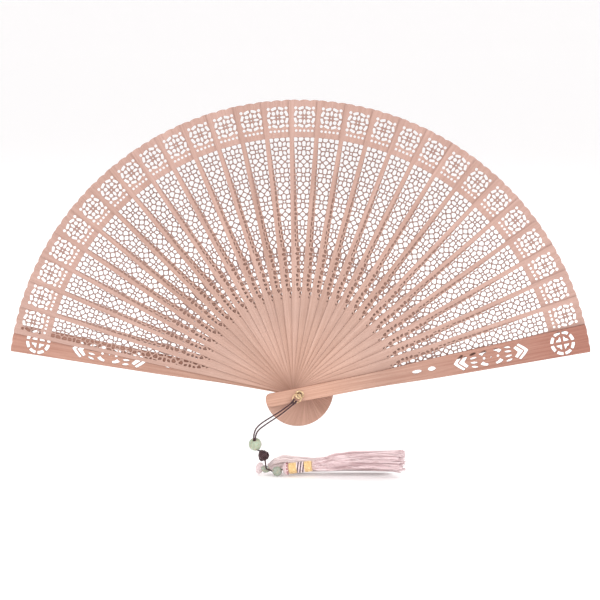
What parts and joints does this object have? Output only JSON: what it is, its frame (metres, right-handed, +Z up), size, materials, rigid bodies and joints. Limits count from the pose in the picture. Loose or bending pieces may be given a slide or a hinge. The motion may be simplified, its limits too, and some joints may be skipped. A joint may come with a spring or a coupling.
{
  "type": "folding fan",
  "caption": "Pierced wooden folding fan, spread open: thin lattice blades between two guards on one pivot pin, with a ring, a beaded cord and a silk tassel.",
  "frame": {"origin": "on the pivot pin's axis, half way through the stack of sticks; the fan is held up there", "axes": "+X to the right across the open fan, +Z up towards its rim, -Y out of its front face"},
  "size_m": [0.3538, 0.0475, 0.2276],
  "materials": {
    "guard_wood": "planed and lightly polished",
    "blade_wood": "planed, raw",
    "brass": "polished",
    "washer_steel": "dull plated",
    "cord_silk": "braided silk cord",
    "jade": null,
    "tassel_silk": "loose silk thread",
    "wrap_silk": "wound metallic-yellow thread",
    "band_silk": "wound pale and dark thread"
  },
  "bodies": {
    "pivot": {"pivot_pin": "brass", "washer_front": "washer_steel", "washer_back": "brass", "wire_ring": "brass", "cord_hitch": "cord_silk", "cord_strand_left": "cord_silk", "cord_strand_right": "cord_silk", "bead_large": "jade", "cord_knot": "cord_silk", "bead_leaf": "jade", "cord_lower": "cord_silk", "bead_small": "jade", "tassel_cap": "tassel_silk", "tassel_wrap_upper": "wrap_silk", "tassel_wrap_middle": "band_silk", "tassel_wrap_lower": "wrap_silk", "tassel_skirt": "tassel_silk", "tassel_rear_cap": "tassel_silk", "tassel_rear_skirt": "tassel_silk"},
    "guard_front": {"guard_front": "guard_wood"},
    "blade_28": {"blade_28": "blade_wood"},
    "blade_27": {"blade_27": "blade_wood"},
    "blade_26": {"blade_26": "blade_wood"},
    "blade_25": {"blade_25": "blade_wood"},
    "blade_24": {"blade_24": "blade_wood"},
    "blade_23": {"blade_23": "blade_wood"},
    "blade_22": {"blade_22": "blade_wood"},
    "blade_21": {"blade_21": "blade_wood"},
    "blade_20": {"blade_20": "blade_wood"},
    "blade_19": {"blade_19": "blade_wood"},
    "blade_18": {"blade_18": "blade_wood"},
    "blade_17": {"blade_17": "blade_wood"},
    "blade_16": {"blade_16": "blade_wood"},
    "blade_15": {"blade_15": "blade_wood"},
    "blade_14": {"blade_14": "blade_wood"},
    "blade_13": {"blade_13": "blade_wood"},
    "blade_12": {"blade_12": "blade_wood"},
    "blade_11": {"blade_11": "blade_wood"},
    "blade_10": {"blade_10": "blade_wood"},
    "blade_09": {"blade_09": "blade_wood"},
    "blade_08": {"blade_08": "blade_wood"},
    "blade_07": {"blade_07": "blade_wood"},
    "blade_06": {"blade_06": "blade_wood"},
    "blade_05": {"blade_05": "blade_wood"},
    "blade_04": {"blade_04": "blade_wood"},
    "blade_03": {"blade_03": "blade_wood"},
    "blade_02": {"blade_02": "blade_wood"},
    "blade_01": {"blade_01": "blade_wood"},
    "guard_back": {"guard_back": "guard_wood"}
  },
  "joints": [
    {"name": "guard_front_turn", "type": "hinge", "parent": "pivot", "child": "guard_front", "pos_m": [0, 0, 0], "axis": [0, -1, 0], "range_deg": [0, 78.8]},
    {"name": "blade_28_turn", "type": "hinge", "parent": "pivot", "child": "blade_28", "pos_m": [0, 0, 0], "axis": [0, -1, 0], "range_deg": [-0.3, 73.65]},
    {"name": "blade_27_turn", "type": "hinge", "parent": "pivot", "child": "blade_27", "pos_m": [0, 0, 0], "axis": [0, -1, 0], "range_deg": [-0.3, 68.06]},
    {"name": "blade_26_turn", "type": "hinge", "parent": "pivot", "child": "blade_26", "pos_m": [0, 0, 0], "axis": [0, -1, 0], "range_deg": [-0.3, 62.48]},
    {"name": "blade_25_turn", "type": "hinge", "parent": "pivot", "child": "blade_25", "pos_m": [0, 0, 0], "axis": [0, -1, 0], "range_deg": [-0.3, 56.89]},
    {"name": "blade_24_turn", "type": "hinge", "parent": "pivot", "child": "blade_24", "pos_m": [0, 0, 0], "axis": [0, -1, 0], "range_deg": [-0.3, 51.31]},
    {"name": "blade_23_turn", "type": "hinge", "parent": "pivot", "child": "blade_23", "pos_m": [0, 0, 0], "axis": [0, -1, 0], "range_deg": [-0.3, 45.73]},
    {"name": "blade_22_turn", "type": "hinge", "parent": "pivot", "child": "blade_22", "pos_m": [0, 0, 0], "axis": [0, -1, 0], "range_deg": [-0.3, 40.16]},
    {"name": "blade_21_turn", "type": "hinge", "parent": "pivot", "child": "blade_21", "pos_m": [0, 0, 0], "axis": [0, -1, 0], "range_deg": [-0.3, 34.59]},
    {"name": "blade_20_turn", "type": "hinge", "parent": "pivot", "child": "blade_20", "pos_m": [0, 0, 0], "axis": [0, -1, 0], "range_deg": [-0.3, 29.02]},
    {"name": "blade_19_turn", "type": "hinge", "parent": "pivot", "child": "blade_19", "pos_m": [0, 0, 0], "axis": [0, -1, 0], "range_deg": [-0.3, 23.47]},
    {"name": "blade_18_turn", "type": "hinge", "parent": "pivot", "child": "blade_18", "pos_m": [0, 0, 0], "axis": [0, -1, 0], "range_deg": [-0.3, 17.92]},
    {"name": "blade_17_turn", "type": "hinge", "parent": "pivot", "child": "blade_17", "pos_m": [0, 0, 0], "axis": [0, -1, 0], "range_deg": [-0.3, 12.38]},
    {"name": "blade_16_turn", "type": "hinge", "parent": "pivot", "child": "blade_16", "pos_m": [0, 0, 0], "axis": [0, -1, 0], "range_deg": [-0.3, 6.85]},
    {"name": "blade_15_turn", "type": "hinge", "parent": "pivot", "child": "blade_15", "pos_m": [0, 0, 0], "axis": [0, -1, 0], "range_deg": [-0.3, 1.32]},
    {"name": "blade_14_turn", "type": "hinge", "parent": "pivot", "child": "blade_14", "pos_m": [0, 0, 0], "axis": [0, -1, 0], "range_deg": [-4.79, 0.3]},
    {"name": "blade_13_turn", "type": "hinge", "parent": "pivot", "child": "blade_13", "pos_m": [0, 0, 0], "axis": [0, -1, 0], "range_deg": [-10.3, 0.3]},
    {"name": "blade_12_turn", "type": "hinge", "parent": "pivot", "child": "blade_12", "pos_m": [0, 0, 0], "axis": [0, -1, 0], "range_deg": [-15.8, 0.3]},
    {"name": "blade_11_turn", "type": "hinge", "parent": "pivot", "child": "blade_11", "pos_m": [0, 0, 0], "axis": [0, -1, 0], "range_deg": [-21.29, 0.3]},
    {"name": "blade_10_turn", "type": "hinge", "parent": "pivot", "child": "blade_10", "pos_m": [0, 0, 0], "axis": [0, -1, 0], "range_deg": [-26.77, 0.3]},
    {"name": "blade_09_turn", "type": "hinge", "parent": "pivot", "child": "blade_09", "pos_m": [0, 0, 0], "axis": [0, -1, 0], "range_deg": [-32.25, 0.3]},
    {"name": "blade_08_turn", "type": "hinge", "parent": "pivot", "child": "blade_08", "pos_m": [0, 0, 0], "axis": [0, -1, 0], "range_deg": [-37.72, 0.3]},
    {"name": "blade_07_turn", "type": "hinge", "parent": "pivot", "child": "blade_07", "pos_m": [0, 0, 0], "axis": [0, -1, 0], "range_deg": [-43.19, 0.3]},
    {"name": "blade_06_turn", "type": "hinge", "parent": "pivot", "child": "blade_06", "pos_m": [0, 0, 0], "axis": [0, -1, 0], "range_deg": [-48.64, 0.3]},
    {"name": "blade_05_turn", "type": "hinge", "parent": "pivot", "child": "blade_05", "pos_m": [0, 0, 0], "axis": [0, -1, 0], "range_deg": [-54.1, 0.3]},
    {"name": "blade_04_turn", "type": "hinge", "parent": "pivot", "child": "blade_04", "pos_m": [0, 0, 0], "axis": [0, -1, 0], "range_deg": [-59.55, 0.3]},
    {"name": "blade_03_turn", "type": "hinge", "parent": "pivot", "child": "blade_03", "pos_m": [0, 0, 0], "axis": [0, -1, 0], "range_deg": [-64.99, 0.3]},
    {"name": "blade_02_turn", "type": "hinge", "parent": "pivot", "child": "blade_02", "pos_m": [0, 0, 0], "axis": [0, -1, 0], "range_deg": [-70.44, 0.3]},
    {"name": "blade_01_turn", "type": "hinge", "parent": "pivot", "child": "blade_01", "pos_m": [0, 0, 0], "axis": [0, -1, 0], "range_deg": [-75.88, 0.3]},
    {"name": "guard_back_turn", "type": "hinge", "parent": "pivot", "child": "guard_back", "pos_m": [0, 0, 0], "axis": [0, -1, 0], "range_deg": [-79.9, 0.3]}
  ],
  "couplings": [
    {"joint": "blade_28_turn", "follows": "guard_front_turn", "ratio": 0.93084},
    {"joint": "blade_27_turn", "follows": "guard_front_turn", "ratio": 0.85992},
    {"joint": "blade_26_turn", "follows": "guard_front_turn", "ratio": 0.78902},
    {"joint": "blade_25_turn", "follows": "guard_front_turn", "ratio": 0.71815},
    {"joint": "blade_24_turn", "follows": "guard_front_turn", "ratio": 0.64731},
    {"joint": "blade_23_turn", "follows": "guard_front_turn", "ratio": 0.57651},
    {"joint": "blade_22_turn", "follows": "guard_front_turn", "ratio": 0.50578},
    {"joint": "blade_21_turn", "follows": "guard_front_turn", "ratio": 0.43511},
    {"joint": "blade_20_turn", "follows": "guard_front_turn", "ratio": 0.36453},
    {"joint": "blade_19_turn", "follows": "guard_front_turn", "ratio": 0.29402},
    {"joint": "blade_18_turn", "follows": "guard_front_turn", "ratio": 0.22361},
    {"joint": "blade_17_turn", "follows": "guard_front_turn", "ratio": 0.1533},
    {"joint": "blade_16_turn", "follows": "guard_front_turn", "ratio": 0.083089},
    {"joint": "blade_15_turn", "follows": "guard_front_turn", "ratio": 0.012983},
    {"joint": "blade_14_turn", "follows": "guard_front_turn", "ratio": -0.057017},
    {"joint": "blade_13_turn", "follows": "guard_front_turn", "ratio": -0.12691},
    {"joint": "blade_12_turn", "follows": "guard_front_turn", "ratio": -0.1967},
    {"joint": "blade_11_turn", "follows": "guard_front_turn", "ratio": -0.26639},
    {"joint": "blade_10_turn", "follows": "guard_front_turn", "ratio": -0.33598},
    {"joint": "blade_09_turn", "follows": "guard_front_turn", "ratio": -0.40547},
    {"joint": "blade_08_turn", "follows": "guard_front_turn", "ratio": -0.47489},
    {"joint": "blade_07_turn", "follows": "guard_front_turn", "ratio": -0.54422},
    {"joint": "blade_06_turn", "follows": "guard_front_turn", "ratio": -0.61349},
    {"joint": "blade_05_turn", "follows": "guard_front_turn", "ratio": -0.68269},
    {"joint": "blade_04_turn", "follows": "guard_front_turn", "ratio": -0.75185},
    {"joint": "blade_03_turn", "follows": "guard_front_turn", "ratio": -0.82098},
    {"joint": "blade_02_turn", "follows": "guard_front_turn", "ratio": -0.89008},
    {"joint": "blade_01_turn", "follows": "guard_front_turn", "ratio": -0.95916},
    {"joint": "guard_back_turn", "follows": "guard_front_turn", "ratio": -1.0102}
  ]
}
